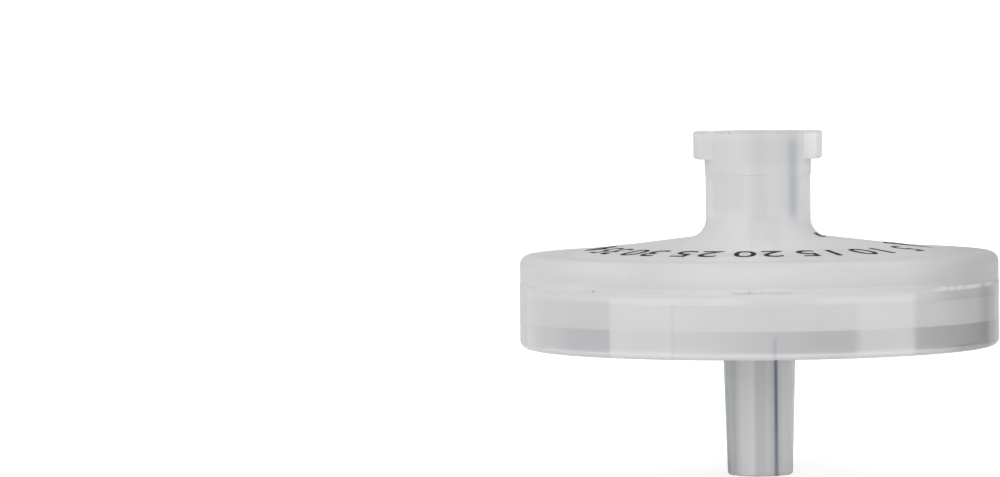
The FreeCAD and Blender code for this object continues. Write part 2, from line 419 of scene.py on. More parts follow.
def collar_tint(s, tint):
    above = s.times(s.step(s.height, *ABOVE_COLLAR_SPAN), s.band(s.x, *ABOVE_COLLAR_BAND), s.in_front())
    tint = s.stain(tint, ABOVE_COLLAR_TONE, above)
    right = s.times(s.band(s.height, *COLLAR_RIGHT_ROWS), s.step(s.x, *COLLAR_SPAN))
    tint = s.stain(tint, COLLAR_RIGHT_TONE, right)
    left = s.times(s.band(s.height, *COLLAR_LEFT_ROWS), s.fade(s.x, *COLLAR_SPAN), s.in_front())
    tint = s.stain(tint, COLLAR_LEFT_TONE, left)
    tint = s.stain(tint, LIP_TONE, s.step(s.height, *LIP_SPAN), s.fade(s.height, *LIP_END_SPAN))
    from_speck = s.add("ShaderNodeVectorMath", s.place, SPECK_PLACE, operation="DISTANCE").outputs["Value"]
    return s.stain(tint, SPECK_TONE, s.fade(from_speck, *SPECK_SPAN))


# The lugs, either side of the mouth
LUG_SPAN = (LUG_FOOT - 0.2 * MM, LUG_FOOT)
LUG_FACE_BAND = (2.85 * MM, 3.55 * MM, 0.1 * MM)
LUG_FACE_ROWS = (LUG_FOOT - 0.1 * MM, MOUTH, 0.1 * MM)
LUG_FACE_TONE = 0.91
LEFT_LUG_SPAN = (-3.3 * MM, -3.1 * MM)
LEFT_LUG_TONE = 0.93
BESIDE_LUG_BAND = (-2.86 * MM, -2.7 * MM, 0.2 * MM)
BESIDE_LUG_TONE = 1.03
UNDER_LUG_ROWS = (LUG_FOOT - 0.35 * MM, LUG_FOOT + 0.04 * MM, 0.12 * MM)
UNDER_LUG_SPAN = (2.65 * MM, 2.95 * MM)
UNDER_LUG_DEPTH_SPAN = (HUB_RADIUS + 0.08 * MM, HUB_RADIUS + 0.12 * MM)    # on the wall and not on the lug
UNDER_LUG_TONE = 1.18


def lug_tint(s, tint):
    """Painted shade and light: the lugs' ends are painted darker, and the hub's wall lighter under them,
    where their shadow falls, and beside the left one.
    """
    face = s.times(s.band(s.off_axis(), *LUG_FACE_BAND), s.band(s.height, *LUG_FACE_ROWS))
    tint = s.stain(tint, LUG_FACE_TONE, face)
    lug_rows = s.step(s.height, *LUG_SPAN)
    tint = s.stain(tint, LEFT_LUG_TONE, lug_rows, s.fade(s.x, *LEFT_LUG_SPAN))
    tint = s.stain(tint, BESIDE_LUG_TONE, lug_rows, s.band(s.x, *BESIDE_LUG_BAND), s.in_front())
    under = s.times(s.band(s.height, *UNDER_LUG_ROWS), s.step(s.off_axis(), *UNDER_LUG_SPAN))
    return s.stain(tint, UNDER_LUG_TONE, under, s.fade(s.radius(), *UNDER_LUG_DEPTH_SPAN))


# The cone and the shoulder round it
APRON_RING = (4 * MM, 9 * MM, 1.5 * MM)     # painted light in front of the hub, which lifts the shade there
APRON_BAND = (-3.5 * MM, 3.5 * MM, 3 * MM)
APRON_TONE = 1.10
LEFT_APRON_BAND = (-5.0 * MM, 0.3 * MM, 1.5 * MM)
LEFT_APRON_TONE = 1.03
CONE_EDGE_RING = (10.4 * MM, 12.9 * MM, 0.5 * MM)
CONE_EDGE_SPAN = (SHOULDER_TOP - 0.2 * MM, SHOULDER_TOP - 0.1 * MM)
CONE_EDGE_LEFT_SPAN = (-11.5 * MM, -9.5 * MM)
CONE_EDGE_RIGHT_SPAN = (-1.0 * MM, 3.0 * MM)
CONE_EDGE_REST = 0.2
CONE_EDGE_TONE = 1.09
SHOULDER_ROWS = (SHOULDER_TOP - 0.60 * MM, SHOULDER_TOP - 0.18 * MM, 0.15 * MM)
SHOULDER_BAND = (-8 * MM, 6 * MM, 3 * MM)
SHOULDER_TONE = 0.965


def cone_tint(s, tint):
    """Painted light and shade: the cone is painted lighter in front of the hub and along its edge, and the
    shoulder's round darker.
    """
    apron = s.times(s.band(s.radius(), *APRON_RING), s.in_front())
    tint = s.stain(tint, APRON_TONE, apron, s.band(s.x, *APRON_BAND))
    tint = s.stain(tint, LEFT_APRON_TONE, apron, s.band(s.x, *LEFT_APRON_BAND))
    edge = s.times(s.band(s.radius(), *CONE_EDGE_RING), s.step(s.height, *CONE_EDGE_SPAN))
    shown = s.times(s.step(s.x, *CONE_EDGE_LEFT_SPAN), s.fade(s.x, *CONE_EDGE_RIGHT_SPAN, CONE_EDGE_REST))
    tint = s.stain(tint, CONE_EDGE_TONE, edge, shown)
    return s.stain(tint, SHOULDER_TONE, s.band(s.height, *SHOULDER_ROWS), s.band(s.x, *SHOULDER_BAND))


# The flow channels and the rings of rib under the cone
ROOF_RING = (4.2 * MM, 9.6 * MM, 0.8 * MM)
ROOF_SPAN = (SHOULDER_TOP - 0.1 * MM, SHOULDER_TOP)
CHANNEL_SPAN = (0.55 * MM, 0.75 * MM)       # from a channel's middle line
CHANNEL_EDGE_BAND = (0.50 * MM, 0.72 * MM, 0.15 * MM)   # from the same line
CHANNEL_EDGE_TONE = 1.065
SECTOR_TONE = (0.98, 0.98, 0.983)           # between the channels
RIB_SPAN = (0.12 * MM, 0.30 * MM)           # from a rib's middle line
RIB_TONE = 1.045
ROOF_PATCHES = 160
ROOF_SHARE = (0.2, 1.0)


def roof_tint(s, tint):
    """The channels and ribs show through the cone, faintly and unevenly."""
    radius = s.radius()
    roof = s.times(s.band(radius, *ROOF_RING), s.step(s.height, *ROOF_SPAN))
    uneven = s.spread(s.noise(ROOF_PATCHES), *ROOF_SHARE)
    from_channel = s.times(radius, s.math("SINE", s.math("PINGPONG", s.angle(), math.pi / CHANNELS)))
    sector = s.inverse(s.fade(from_channel, *CHANNEL_SPAN))
    from_rib = s.math("PINGPONG", s.math("SUBTRACT", radius, FIRST_RIB), RIB_PITCH / 2)
    tint = s.stain(tint, SECTOR_TONE, roof, sector)
    tint = s.stain(tint, RIB_TONE, roof, s.fade(from_rib, *RIB_SPAN), sector, uneven)
    return s.stain(tint, CHANNEL_EDGE_TONE, roof, s.band(from_channel, *CHANNEL_EDGE_BAND), uneven)


# ---------------------------------------------------------------- outlet shell

OUTLET_MILK = ((0.765, 0.765, 0.768), (0.79, 0.79, 0.793))
SPIGOT_SPAN = (RIM_BOTTOM - 0.1 * MM, RIM_BOTTOM + 0.1 * MM)
SPIGOT_CLEAR = 0.25             # how much is seen through the spigot
EDGE_CLEAR = 0.1                # through the rim's lower edge
RIM_CLEAR = 0.22                # and through the rest of the rim
RIM_CLEAR_SPAN = (RIM_BOTTOM + 0.3 * MM, RIM_BOTTOM + 0.6 * MM)
SPIGOT_ROUGHNESS = 0.10
RIM_ROUGHNESS = 0.18
ROUGHNESS_SPAN = (RIM_BOTTOM - 0.5 * MM, RIM_BOTTOM + 0.3 * MM)
OUTLET_GRAIN = 0.06


def outlet_material():
    s = polypropylene("outlet_polypropylene")
    spigot = s.fade(s.height, *SPIGOT_SPAN)
    milky = s.inverse(melt_zone(s))
    tint = s.blend(s.spread(s.noise(CLOUDS, CLOUD_DETAIL), 0.0, 1.0), *OUTLET_MILK)
    tint = pocket_tint(s, tint)
    tint = seat_tint(s, tint)
    tint = s.blend(melt_zone(s), tint, MELT_COLOUR)
    tint = weld_tint(s, tint)
    tint = rim_end_tint(s, tint)
    s.feed("Base Color", s.blend(spigot, tint, spigot_tint(s)))
    clear = s.step(s.height, *RIM_CLEAR_SPAN, EDGE_CLEAR, RIM_CLEAR)
    clear = s.math("MAXIMUM", clear, s.times(spigot, SPIGOT_CLEAR))
    s.feed("Subsurface Weight", milky)
    s.feed("Transmission Weight", s.times(clear, milky))
    s.feed("Roughness", s.step(s.height, *ROUGHNESS_SPAN, SPIGOT_ROUGHNESS, RIM_ROUGHNESS))
    s.bump(s.noise(SKIN_GRAIN, GRAIN_DETAIL), OUTLET_GRAIN, GRAIN_DEPTH)
    return s.material


# Where the rim's wall has a pocket or a stiffener behind it
SKIRT_SPAN = (RIM_RADIUS - 1.6 * MM, RIM_RADIUS - 1.0 * MM)
STIFFENER_RADIUS = RIM_RADIUS - 1.1 * MM
LEFT_SOFTNESS = 0.012           # of a stiffener's edges, either way in radians
RIGHT_SOFTNESS = 0.026
SOFTNESS_SPAN = (-2 * MM, 2 * MM)
POCKET_ROWS = (POCKET_FOOT, POCKET_ROOF, 0.12 * MM)
BELOW_SEAT_SPAN = (WELD_LINE - 0.8 * MM, WELD_LINE - 0.4 * MM)
LEFT_END_SPAN = (-13.6 * MM, -12.8 * MM)
LEFT_END_REST = 0.3
RIGHT_END_SPAN = (13.45 * MM, 13.75 * MM)
RIGHT_END_REST = 0.25


def on_skirt(s):
    """1 on the rim's wall, and 0 further in."""
    return s.step(s.radius(), *SKIRT_SPAN)


def open_side(s):
    """1 on the rim's wall between the stiffeners."""
    turned = s.math("SUBTRACT", s.angle(), STIFFENER_TURN)
    from_stiffener = s.math("PINGPONG", turned, math.pi / STIFFENERS)
    half = STIFFENER_HALF / STIFFENER_RADIUS
    soft = s.step(s.x, *SOFTNESS_SPAN, LEFT_SOFTNESS, RIGHT_SOFTNESS)
    between = s.step(from_stiffener, s.math("SUBTRACT", half, soft), s.math("ADD", half, soft))
    return s.times(on_skirt(s), between)


def below_seat(s):
    """1 on the rim's wall, from the seat down."""
    return s.times(on_skirt(s), s.fade(s.height, *BELOW_SEAT_SPAN))


def pocket_rows(s):
    """1 on the rim's wall, at the pockets' height."""
    return s.times(on_skirt(s), s.band(s.height, *POCKET_ROWS))


def left_end(s):
    """1, and less at the rim's left end, where the wall is seen edge-on."""
    return s.step(s.x, *LEFT_END_SPAN, LEFT_END_REST, 1.0)


def hollow(s):
    """1 on the rim's wall in front of a pocket, and less at both ends."""
    shown = s.times(left_end(s), s.fade(s.x, *RIGHT_END_SPAN, RIGHT_END_REST))
    return s.times(pocket_rows(s), open_side(s), shown)


# The pockets and their stiffeners
PLATE_EDGE_TONE = (0.93, 0.93, 0.935)           # between the stiffeners, at the pockets and above them
PLATE_EDGE_GAP_SPAN = (-8.5 * MM, -7.5 * MM)    # it fades out here from the left
PLATE_EDGE_RETURN_SPAN = (-6.5 * MM, 1.5 * MM)  # and comes back here
PLATE_EDGE_LEFT_SPAN = (-13.6 * MM, -12.2 * MM)
PLATE_EDGE_REST = 0.4
POCKET_TONE = (0.92, 0.92, 0.925)
HOLLOW_TONE = (0.85, 0.85, 0.855)
HOLLOW_SPAN = (-5 * MM, 5 * MM)
LEFT_POCKET_BAND = (-11.6 * MM, -7.0 * MM, 1.8 * MM)
LEFT_PLATE_TONE = (0.96, 0.962, 0.966)
LEFT_HOLLOW_TONE = (0.895, 0.898, 0.91)
RIGHT_HOLLOW_SPAN = (8.5 * MM, 10.5 * MM)
RIGHT_HOLLOW_TONE = (0.92, 0.92, 0.94)
LAST_HOLLOW_SPAN = (12.0 * MM, 13.0 * MM)
LAST_HOLLOW_TONE = 0.88
BLOCK_BAND = (-8.7 * MM, -5.1 * MM, 0.1 * MM)   # painted light on the stiffener on the left
BLOCK_TONE = 1.035
BLOCK_EDGE_BAND = (-5.14 * MM, -4.90 * MM, 0.24 * MM)
BLOCK_EDGE_TONE = (0.96, 0.96, 0.965)
RIM_BORE_BAND = (0.78 * MM, 1.0 * MM, 0.14 * MM)    # the bore's dark edge, seen on through the rim, as painted shade
RIM_BORE_ROWS = (RIM_BOTTOM + 0.1 * MM, RIM_BOTTOM + 1.35 * MM, 0.3 * MM)
RIM_BORE_TONE = (0.86, 0.87, 0.92)


def pocket_tint(s, tint):
    """Painted shade: the pockets show darker through the rim than the stiffeners between them, and darker
    towards +X.
    """
    shown = s.math("ADD", s.fade(s.x, *PLATE_EDGE_GAP_SPAN), s.step(s.x, *PLATE_EDGE_RETURN_SPAN))
    shown = s.times(shown, s.step(s.x, *PLATE_EDGE_LEFT_SPAN, PLATE_EDGE_REST, 1.0))
    left_pocket = s.band(s.x, *LEFT_POCKET_BAND)
    tint = s.stain(tint, PLATE_EDGE_TONE, open_side(s), below_seat(s), shown)
    tint = s.stain(tint, LEFT_PLATE_TONE, open_side(s), below_seat(s), left_pocket)
    tint = s.stain(tint, POCKET_TONE, pocket_rows(s), left_end(s))
    tint = s.stain(tint, HOLLOW_TONE, hollow(s), s.step(s.x, *HOLLOW_SPAN))
    tint = s.stain(tint, LEFT_HOLLOW_TONE, hollow(s), left_pocket)
    tint = s.stain(tint, RIGHT_HOLLOW_TONE, hollow(s), s.step(s.x, *RIGHT_HOLLOW_SPAN))
    tint = s.stain(tint, LAST_HOLLOW_TONE, hollow(s), s.step(s.x, *LAST_HOLLOW_SPAN))
    tint = s.stain(tint, BLOCK_TONE, pocket_rows(s), s.band(s.x, *BLOCK_BAND), s.in_front())
    tint = s.stain(tint, BLOCK_EDGE_TONE, below_seat(s), s.band(s.x, *BLOCK_EDGE_BAND), s.in_front())
    bore = s.times(s.band(s.x, *RIM_BORE_BAND), s.band(s.height, *RIM_BORE_ROWS), s.in_front())
    return s.stain(tint, RIM_BORE_TONE, bore)


# The seat with the membrane's edge, a band under the weld
SEAT_ROWS = (WELD_LINE - 0.70 * MM, WELD_LINE - 0.27 * MM, 0.12 * MM)
SEAT_LEFT_SPAN = (-9.0 * MM, -8.4 * MM)
SEAT_LEFT_REST = 0.4
SEAT_RIGHT_SPAN = (8.7 * MM, 9.5 * MM)
SEAT_TONE = 1.09
SEAT_MIDDLE_BAND = (-1.0 * MM, 3.2 * MM, 1.5 * MM)
SEAT_MIDDLE_TONE = 0.93


def seat_tint(s, tint):
    """The seat shows as a light band, but for its middle."""
    seat = s.times(on_skirt(s), s.band(s.height, *SEAT_ROWS))
    lit = s.times(s.step(s.x, *SEAT_LEFT_SPAN, SEAT_LEFT_REST, 1.0), s.fade(s.x, *SEAT_RIGHT_SPAN))
    tint = s.stain(tint, SEAT_TONE, seat, lit)
    return s.stain(tint, SEAT_MIDDLE_TONE, seat, s.band(s.x, *SEAT_MIDDLE_BAND))


# The outlet shell's edge of the weld, at the +X end
WELD_SHADOW_ROWS = (WELD_LINE - 0.74 * MM, WELD_LINE, 0.16 * MM)
WELD_SHADOW_SPAN = (9.5 * MM, 11.5 * MM)
WELD_SHADOW_TONE = (0.87, 0.865, 0.90)
GLINT_ROWS = (WELD_LINE - 0.17 * MM, WELD_LINE - 0.04 * MM, 0.05 * MM)
GLINT_TONE = (1.40, 1.40, 1.38)


def weld_tint(s, tint):
    """A shadow under the weld, and the jagged glint of its edge."""
    shadow = s.times(s.band(s.height, *WELD_SHADOW_ROWS), s.step(s.x, *WELD_SHADOW_SPAN))
    tint = s.stain(tint, WELD_SHADOW_TONE, shadow)
    return s.stain(tint, GLINT_TONE, s.band(s.height, *GLINT_ROWS), jagged_glint(s))


# The rim's two ends and its lower edge
LOWER_EDGE_SPAN = (RIM_BOTTOM + 0.05 * MM, RIM_BOTTOM + 0.30 * MM)
LOWER_EDGE_TONE = 0.93
LOWER_ROUND_ROWS = (RIM_BOTTOM - 0.1 * MM, RIM_BOTTOM + 0.5 * MM, 0.2 * MM)
LOWER_RIGHT_SPAN = (10.5 * MM, 12.3 * MM)
LOWER_RIGHT_TONE = 0.72
LOWER_LEFT_SPAN = (-13.5 * MM, -12.0 * MM)
LOWER_LEFT_TONE = 0.87
STIFFENER_SPAN = (1.9 * MM, 2.3 * MM)       # from the X axis, where the stiffener at +X ends
STIFFENER_REST = 0.45
RIGHT_START_SPAN = (8.8 * MM, 9.3 * MM)
RIGHT_START_END_SPAN = (WELD_LINE - 0.20 * MM, WELD_LINE - 0.05 * MM)
RIGHT_START_TONE = 0.925
RIGHT_SPAN = (9.5 * MM, 14.6 * MM)
RIGHT_TONE = (0.72, 0.72, 0.715)
FAR_RIGHT_SPAN = (12.75 * MM, 13.5 * MM)
RIGHT_TIP_SPAN = (13.6 * MM, 13.8 * MM)
RIGHT_TIP_TONE = 1.06
LEFT_TIP_SPAN = (-14.3 * MM, -13.7 * MM)
LEFT_TIP_TONE = 0.82
LEFT_OUTLINE_SPAN = (-14.45 * MM, -14.15 * MM)
LEFT_OUTLINE_TONE = 0.78


def rim_end_tint(s, tint):
    """Painted shade: the rim grows darker to its right end, where the light falls off. Its left outline, its
    lower edge and most of all that edge's two ends are painted dark, and its tip at the right a little
    lighter.
    """
    lower_round = s.band(s.height, *LOWER_ROUND_ROWS)
    beside_stiffener = s.step(s.math("ABSOLUTE", s.y), *STIFFENER_SPAN, STIFFENER_REST, 1.0)
    wall = s.times(on_skirt(s), beside_stiffener)
    tint = s.stain(tint, LOWER_EDGE_TONE, s.fade(s.height, *LOWER_EDGE_SPAN))
    tint = s.stain(tint, LOWER_RIGHT_TONE, lower_round, s.step(s.x, *LOWER_RIGHT_SPAN))
    tint = s.stain(tint, LOWER_LEFT_TONE, lower_round, s.fade(s.x, *LOWER_LEFT_SPAN))
    below_weld = s.fade(s.height, *RIGHT_START_END_SPAN)
    tint = s.stain(tint, RIGHT_START_TONE, wall, s.step(s.x, *RIGHT_START_SPAN), below_weld)
    tint = s.stain(tint, RIGHT_TONE, wall, s.step(s.x, *RIGHT_SPAN))
    tint = s.stain(tint, RIGHT_TONE, beside_stiffener, s.step(s.x, *FAR_RIGHT_SPAN))
    tint = s.stain(tint, RIGHT_TIP_TONE, s.step(s.x, *RIGHT_TIP_SPAN))
    tint = s.stain(tint, LEFT_TIP_TONE, s.fade(s.x, *LEFT_TIP_SPAN))
    return s.stain(tint, LEFT_OUTLINE_TONE, s.fade(s.x, *LEFT_OUTLINE_SPAN))


# The spigot. Its walls and its bore bend the light into upright bands, which are painted here as light and
# shade.
SPIGOT_COLOURS = ((0.735, 0.735, 0.737), (0.785, 0.785, 0.785))
SPIGOT_STREAKS = (14, 40)
LEFT_WALL_BAND = (-2.6 * MM, -1.4 * MM, 0.25 * MM)
LEFT_WALL_TONE = (0.80, 0.83, 0.85)
LEFT_EDGE_SPAN = (-0.95, -0.87)             # X as a share of the radius
LEFT_EDGE_TONE = (0.78, 0.79, 0.80)
LIGHT_BAND = (-1.15 * MM, -0.28 * MM, 0.3 * MM)
LIGHT_TONE = 1.17
LIGHT_CORE_BAND = (-0.72 * MM, -0.36 * MM, 0.2 * MM)
LIGHT_CORE_TONE = 1.08
INNER_BAND = (0.35 * MM, 0.66 * MM, 0.2 * MM)
INNER_TONE = 1.07
HALO_BAND = (0.74 * MM, 1.24 * MM, 0.3 * MM)    # round the bore's dark edge
HALO_TONE = (0.93, 0.95, 0.98)
BORE_BAND = (0.87 * MM, 1.09 * MM, 0.14 * MM)   # the bore's dark edge
BORE_TONE = (0.46, 0.50, 0.56)
UPPER_BORE_BAND = (0.92 * MM, 1.05 * MM, 0.10 * MM)
UPPER_BORE_START_SPAN = (1.0 * MM, 4.0 * MM)
UPPER_BORE_END_SPAN = (6.8 * MM, 7.8 * MM)
UPPER_BORE_REST = 0.4
UPPER_BORE_TONE = (0.64, 0.63, 0.66)
RIGHT_SIDE_SPAN = (1.2 * MM, 1.4 * MM)
RIGHT_SIDE_TONE = 1.06
RIGHT_EDGE_SPAN = (1.7 * MM, 2.0 * MM)
RIGHT_EDGE_TONE = 1.03


def spigot_tint(s):
    tint = s.blend(s.spread(s.streaks(*SPIGOT_STREAKS), 0.0, 1.0), *SPIGOT_COLOURS)
    side = s.math("DIVIDE", s.x, s.radius())
    tint = s.stain(tint, LEFT_WALL_TONE, s.band(s.x, *LEFT_WALL_BAND))
    tint = s.stain(tint, LEFT_EDGE_TONE, s.fade(side, *LEFT_EDGE_SPAN))
    tint = s.stain(tint, LIGHT_TONE, s.band(s.x, *LIGHT_BAND))
    tint = s.stain(tint, LIGHT_CORE_TONE, s.band(s.x, *LIGHT_CORE_BAND))
    tint = s.stain(tint, INNER_TONE, s.band(s.x, *INNER_BAND))
    tint = s.stain(tint, HALO_TONE, s.band(s.x, *HALO_BAND), s.in_front())
    tint = s.stain(tint, BORE_TONE, s.band(s.x, *BORE_BAND), s.in_front())
    upper_bore = s.times(s.band(s.x, *UPPER_BORE_BAND), s.step(s.height, *UPPER_BORE_START_SPAN))
    upper_end = s.fade(s.height, *UPPER_BORE_END_SPAN, UPPER_BORE_REST)
    tint = s.stain(tint, UPPER_BORE_TONE, upper_bore, upper_end, s.in_front())
    tint = s.stain(tint, RIGHT_SIDE_TONE, s.step(s.x, *RIGHT_SIDE_SPAN))
    return s.stain(tint, RIGHT_EDGE_TONE, s.step(s.x, *RIGHT_EDGE_SPAN))


# ---------------------------------------------------------------- membrane

MEMBRANE_COLOURS = ((0.86, 0.86, 0.85), (0.93, 0.93, 0.92))
MEMBRANE_ROUGHNESS = 0.85
MEMBRANE_GLOW_SPAN = (2.5 * MM, 3.5 * MM)   # a painted glow: the part under the socket shares the socket's light
MEMBRANE_PORES = 4000
MEMBRANE_GRAIN = 6000
MEMBRANE_DETAIL = 4.0
MEMBRANE_BUMP = 0.3
MEMBRANE_BUMP_DEPTH = 0.01 * MM


def membrane_material():
    s = Surface("membrane_ptfe", Roughness=MEMBRANE_ROUGHNESS, Emission_Color=GLOW_COLOUR)
    s.feed("Base Color", s.blend(s.noise(MEMBRANE_PORES, MEMBRANE_DETAIL), *MEMBRANE_COLOURS))
    s.feed("Emission Strength", s.step(s.radius(), *MEMBRANE_GLOW_SPAN, SOCKET_GLOW, 0.0))
    s.bump(s.noise(MEMBRANE_GRAIN, MEMBRANE_DETAIL), MEMBRANE_BUMP, MEMBRANE_BUMP_DEPTH)
    return s.material


def finish_cad_nodes():
    finishes = {
        "inlet_shell": inlet_material(),
        "outlet_shell": outlet_material(),
        "membrane": membrane_material(),
    }
    for name, material in finishes.items():
        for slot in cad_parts[name].material_slots:
            slot.material = material


# ---------------------------------------------------------------- pieces


def new_object(name, data):
    made = bpy.data.objects.new(name, data)
    bpy.context.scene.collection.objects.link(made)
    return made


def new_piece(name, mesh, material):
    """A piece of the filter that rides on its one body."""
    mesh.materials.append(material)
    piece = new_object(name, mesh)
    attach(piece, "root")


# ---------------------------------------------------------------- print: a dial of plain numbers on the cone

PRINT_INNER = 8.57 * MM
PRINT_OUTER = 10.55 * MM
PRINT_MIDDLE = (PRINT_INNER + PRINT_OUTER) / 2
PRINT_THICKNESS = 0.012 * MM
PRINT_SINK = 0.01 * MM
DIVISIONS = 16
LABEL_STEP = 5
DIGIT_STRETCH = 1.04            # the font's digits, made this much wider
DIGIT_SPACING = 1.06
DIGIT_SMOOTHNESS = 6            # points to each curve of a digit's outline
INDEX_INNER = 7.6 * MM          # a triangle in place of nought
INDEX_HALF_WIDTH = 0.95 * MM
INDEX_TIP = 0.02                # the width of its blunt tip, as a share
TICK_INNER = 3.60 * MM          # and two short ticks at the hub's foot, either side of it
TICK_OUTER = 4.25 * MM
TICK_HALF_WIDTH = 0.24 * MM
TICK_STEPS = 10
TICK_TURN = math.radians(18)
INK_COLOURS = ((0.012, 0.012, 0.014), (0.03, 0.03, 0.033))
INK_PATCHES = 1500
INK_DETAIL = 3.0
INK_GRAIN = 3000
INK_ROUGHNESS = (0.6, 0.8)
INK_SHINE = 0.1


def ink_material():
    s = Surface("black_ink", Specular_IOR_Level=INK_SHINE)
    s.feed("Base Color", s.blend(s.noise(INK_PATCHES, INK_DETAIL), *INK_COLOURS))
    s.feed("Roughness", s.spread(s.noise(INK_GRAIN), *INK_ROUGHNESS))
    return s.material


def top_height(radius):
    """The height of the inlet shell's top: the cone, and the round at the hub's foot."""
    cone = SHOULDER_TOP + CONE_SLOPE * (SHOULDER_INNER - radius)
    middle = HUB_RADIUS + HUB_ROOT_ROUND
    if radius >= middle - HUB_ROOT_ROUND * math.sin(CONE_ANGLE):
        return cone
    centre = SHOULDER_TOP + CONE_SLOPE * (SHOULDER_INNER - middle) + HUB_ROOT_ROUND / math.cos(CONE_ANGLE)
    return centre - math.sqrt(HUB_ROOT_ROUND ** 2 - (middle - radius) ** 2)


def number_outline(text):
    """A flat mesh of a number, with x from its middle and y outwards from the print's inner edge."""
    curve = bpy.data.curves.new("number", "FONT")
    curve.body = text
    curve.align_x = "CENTER"
    curve.space_character = DIGIT_SPACING
    curve.resolution_u = DIGIT_SMOOTHNESS
    holder = bpy.data.objects.new("number", curve)
    mesh = bpy.data.meshes.new_from_object(holder)
    bpy.data.objects.remove(holder)
    foot = min(v.co.y for v in mesh.vertices)
    scale = (PRINT_OUTER - PRINT_INNER) / (max(v.co.y for v in mesh.vertices) - foot)
    for v in mesh.vertices:
        v.co = Vector((v.co.x * DIGIT_STRETCH, v.co.y - foot, 0.0)) * scale
    return mesh


def tapered_shape(rows):
    """A flat mesh through rows, each a half width across and a radius."""
    mesh = bpy.data.meshes.new("shape")
    points = [(side * half, radius - PRINT_INNER, 0.0) for half, radius in rows for side in (-1, 1)]
    faces = [(i, i + 1, i + 3, i + 2) for i in range(0, len(points) - 2, 2)]
    mesh.from_pydata(points, [], faces)
    return mesh


def lay_on_top(ink, flat, direction):
    """Adds a flat outline to the print, facing direction and with its top outwards."""
    first = len(ink.verts)
    ink.from_mesh(flat)
    ink.verts.ensure_lookup_table()
    for vertex in ink.verts[first:]:
        radius = PRINT_INNER + vertex.co.y
        angle = direction - vertex.co.x / min(radius, PRINT_MIDDLE)
        level = top_height(radius) + PRINT_THICKNESS
        vertex.co = (radius * math.cos(angle), radius * math.sin(angle), level)
    bpy.data.meshes.remove(flat)


def lay_index(ink):
    """The triangle at nought, and a tick either side of it."""
    triangle = [(INDEX_HALF_WIDTH, INDEX_INNER), (INDEX_HALF_WIDTH * INDEX_TIP, PRINT_OUTER)]
    lay_on_top(ink, tapered_shape(triangle), 0)
    reach = (TICK_OUTER - TICK_INNER) / TICK_STEPS
    tick = [(TICK_HALF_WIDTH, TICK_INNER + reach * i) for i in range(TICK_STEPS + 1)]
    for turn in (TICK_TURN, -TICK_TURN):
        lay_on_top(ink, tapered_shape(tick), turn)


def make_print():
    """The ink: an index mark at nought, and a number at each other division of the turn."""
    ink = bmesh.new()
    lay_index(ink)
    for i in range(1, DIVISIONS):
        lay_on_top(ink, number_outline(str(LABEL_STEP * i)), -i * math.tau / DIVISIONS)
    bmesh.ops.recalc_face_normals(ink, faces=ink.faces)
    solid = bmesh.ops.extrude_face_region(ink, geom=ink.faces[:])
    moved = [v for v in solid["geom"] if isinstance(v, bmesh.types.BMVert)]
    bmesh.ops.translate(ink, vec=(0, 0, -PRINT_THICKNESS - PRINT_SINK), verts=moved)
    bmesh.ops.recalc_face_normals(ink, faces=ink.faces)
    mesh = bpy.data.meshes.new("print_ring")
    ink.to_mesh(mesh)
    ink.free()
    new_piece("print_ring", mesh, ink_material())


# ---------------------------------------------------------------- weld bead: the melt that closes the groove

BEAD_SEGMENTS = 1200
BEAD_SKIN = 0.004 * MM          # how far it stands proud of each shell
BEAD_ROOT = 0.06 * MM           # and how deep it goes
GROOVE_HALF = 0.05 * MM
SHELL_INSET = 0.03 * MM         # how far the inlet shell's wall stands inside the outlet shell's
SMEAR_UP = 0.09 * MM            # how far it is smeared over each shell, at the most
SMEAR_DOWN = 0.06 * MM
WAVES_UP = 420                  # how often its edges wander in a turn
WAVES_DOWN = 240
BEAD_SHARP = math.radians(25)
BEAD_SEED = 11
BEAD_COLOURS = ((0.575, 0.575, 0.575), (0.615, 0.615, 0.615))
BEAD_PATCHES = 600
BEAD_DETAIL = 3.0
BEAD_GRAIN = 3000
BEAD_ROUGHNESS = (0.3, 0.5)
DOTS = 1500                     # a few dark dots of burnt melt
DOT_SPAN = (0.66, 0.72)
DOT_TONE = (0.55, 0.55, 0.56)
BEAD_MIDDLE_BAND = (-1.6 * MM, 1.9 * MM, 0.5 * MM)
BEAD_MIDDLE_TONE = (0.82, 0.82, 0.83)
# painted glint in the weld's jagged patches
BEAD_GLINT_TONE = 1.35
# painted shade at the disc's +X end
BEAD_FAR_SHADE = 0.75
# painted light at the disc's -X end
BEAD_NEAR_LIGHT = 1.07


def bead_material():
    s = Surface("weld_bead", IOR=PLASTIC_IOR)
    tint = s.blend(s.spread(s.noise(BEAD_PATCHES, BEAD_DETAIL), 0.0, 1.0), *BEAD_COLOURS)
    tint = s.stain(tint, DOT_TONE, s.step(s.noise(DOTS), *DOT_SPAN))
    tint = s.stain(tint, BEAD_MIDDLE_TONE, s.band(s.x, *BEAD_MIDDLE_BAND))
    tint = s.stain(tint, BEAD_GLINT_TONE, jagged_glint(s))
    tint = s.stain(tint, BEAD_FAR_SHADE, far_end_shade(s))
    tint = s.stain(tint, BEAD_NEAR_LIGHT, near_end_light(s))
    s.feed("Base Color", tint)
    s.feed("Roughness", s.spread(s.noise(BEAD_GRAIN), *BEAD_ROUGHNESS))
    return s.material


def smooth_noise(rng, count, knots):
    """count values round a loop, eased between random ones at the knots."""
    values = [rng.random() for _ in range(knots)]
    result = []
    for i in range(count):
        place = i * knots / count
        k = int(place)
        t = place - k
        t = t * t * (3 - 2 * t)
        result.append(values[k % knots] * (1 - t) + values[(k + 1) % knots] * t)
    return result


